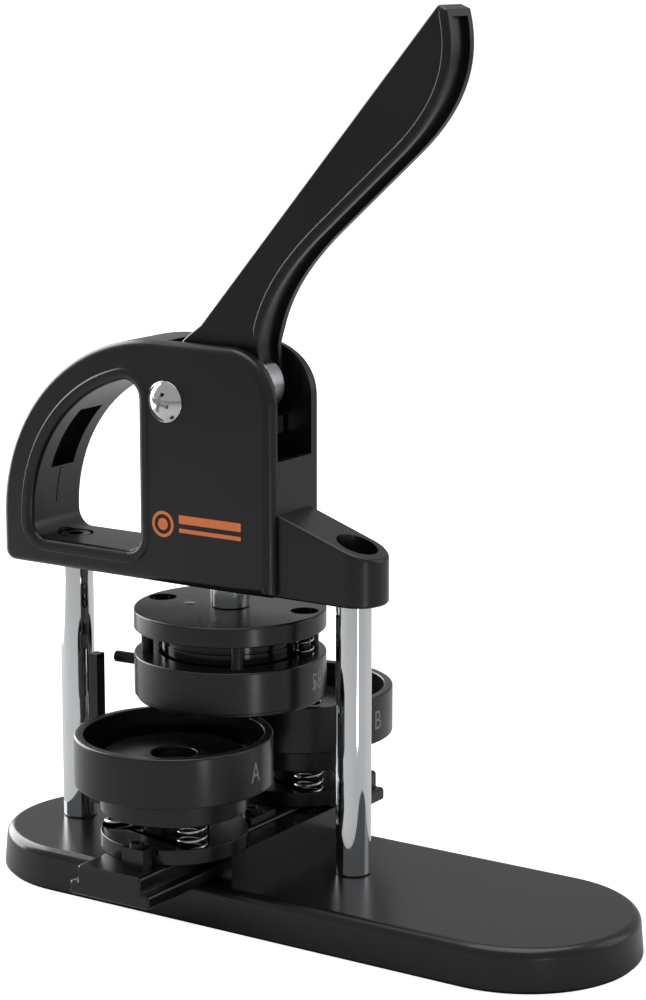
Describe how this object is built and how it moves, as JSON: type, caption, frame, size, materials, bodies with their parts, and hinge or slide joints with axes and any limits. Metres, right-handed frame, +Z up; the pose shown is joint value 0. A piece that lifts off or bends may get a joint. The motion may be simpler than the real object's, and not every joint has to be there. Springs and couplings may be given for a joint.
{
  "type": "button badge maker",
  "caption": "Hand-lever button badge press: oblong base, two chrome columns, arched head with a hand grip, sprung dies on a sliding carriage.",
  "frame": {"origin": "on the table, straight below the ram axis, on the underside of the rubber pad", "axes": "+X along the base towards its long end, +Y along the carriage towards the rear die, +Z up the ram axis"},
  "size_m": [0.294, 0.174, 0.3648],
  "materials": {
    "satin_black_casting": "satin black powder coat on an aluminium casting",
    "zinc_steel": "zinc-plated steel",
    "rubber_pad": "matt black rubber",
    "black_rail": "black anodised aluminium",
    "black_oxide_steel": "black oxide steel",
    "chrome_column": "polished chrome on steel",
    "satin_black_abs": "satin black moulded ABS",
    "bronze_bush": "sintered bronze",
    "chrome_screw": "nickel-plated steel",
    "ground_steel": "ground bright steel",
    "spring_steel": "bright spring wire",
    "black_die_metal": "black anodised, turned aluminium",
    "dark_core_steel": "blackened turned steel"
  },
  "bodies": {
    "frame": {"base_body": "satin_black_casting", "base_plate": "zinc_steel", "base_pad": "rubber_pad", "base_plate_screws": "zinc_steel", "rail_left": "black_rail", "rail_right": "black_rail", "rail_screws": "black_oxide_steel", "stop_pin": "zinc_steel", "column_left": "chrome_column", "column_right": "chrome_column", "column_base_screws": "black_oxide_steel", "column_head_screws": "black_oxide_steel", "head_body": "satin_black_abs", "ram_bush": "bronze_bush", "pivot_screw": "chrome_screw", "pivot_nut": "chrome_screw", "pivot_washers": "zinc_steel", "ram_spring": "spring_steel"},
    "lever": {"lever_arm": "satin_black_abs", "lever_bush": "bronze_bush", "roller_pin": "ground_steel", "roller_clips": "black_oxide_steel"},
    "roller": {"roller": "ground_steel"},
    "ram": {"ram_rod": "ground_steel", "ram_head": "ground_steel", "upper_plate": "black_die_metal", "upper_posts": "black_oxide_steel", "upper_core": "dark_core_steel", "upper_core_screw": "black_oxide_steel", "plate_dowel": "ground_steel"},
    "upper_ring": {"upper_ring": "black_die_metal", "upper_ring_lip": "black_die_metal", "hanger_screws": "black_oxide_steel", "hanger_springs": "spring_steel"},
    "shift_ring": {"shift_ring": "dark_core_steel", "shift_pin": "black_oxide_steel"},
    "carriage": {"carriage_slide": "black_rail", "trip_bracket": "black_rail", "trip_screws": "black_oxide_steel", "die_a_flange": "black_die_metal", "die_a_core": "dark_core_steel", "die_a_screw": "zinc_steel", "die_a_clip": "black_rail", "die_a_clip_screw": "black_oxide_steel", "die_a_springs": "spring_steel", "die_b_flange": "black_die_metal", "die_b_core": "dark_core_steel", "die_b_screw": "zinc_steel", "die_b_clip": "black_rail", "die_b_clip_screw": "black_oxide_steel", "die_b_springs": "spring_steel"},
    "die_a_ring": {"die_a_ring": "black_die_metal"},
    "die_b_ring": {"die_b_ring": "black_die_metal"}
  },
  "joints": [
    {"name": "lever_swing", "type": "hinge", "parent": "frame", "child": "lever", "pos_m": [-0.0194, 0, 0.2054], "axis": [0, 1, 0], "range_deg": [0, 45]},
    {"name": "roller_spin", "type": "hinge", "parent": "lever", "child": "roller", "pos_m": [0.013, 0, 0.213], "axis": [0, 1, 0], "continuous": true},
    {"name": "ram_slide", "type": "slide", "parent": "frame", "child": "ram", "axis": [0, 0, -1], "range_m": [0, 0.02445], "stiffness_N_per_m": 1500, "springref_m": -0.02, "deforming": ["ram_spring"]},
    {"name": "upper_ring_slide", "type": "slide", "parent": "ram", "child": "upper_ring", "axis": [0, 0, 1], "range_m": [0, 0.01005], "stiffness_N_per_m": 800, "springref_m": -0.005, "deforming": ["hanger_springs"]},
    {"name": "carriage_slide", "type": "slide", "parent": "frame", "child": "carriage", "axis": [0, 1, 0], "range_m": [-0.0504, 0.0396]},
    {"name": "shift_turn", "type": "hinge", "parent": "upper_ring", "child": "shift_ring", "pos_m": [0, 0, 0.092], "axis": [0, 0, 1], "range_deg": [-10.6, 13.5]},
    {"name": "die_a_press", "type": "slide", "parent": "carriage", "child": "die_a_ring", "axis": [0, 0, -1], "range_m": [0, 0.00845], "stiffness_N_per_m": 4000, "springref_m": -0.002, "deforming": ["die_a_springs"]},
    {"name": "die_b_press", "type": "slide", "parent": "carriage", "child": "die_b_ring", "axis": [0, 0, -1], "range_m": [0, 0.00845], "stiffness_N_per_m": 4000, "springref_m": -0.002, "deforming": ["die_b_springs"]}
  ],
  "couplings": [
    {"joint": "ram_slide", "follows": "lever_swing", "m_per_rad": 0.031067},
    {"joint": "upper_ring_slide", "follows": "lever_swing", "m_per_rad": 0.012732},
    {"joint": "die_a_press", "follows": "lever_swing", "m_per_rad": 0.010695},
    {"joint": "die_b_press", "follows": "lever_swing", "m_per_rad": 0.010695},
    {"joint": "shift_turn", "follows": "carriage_slide", "rad_per_m": -4.66}
  ]
}
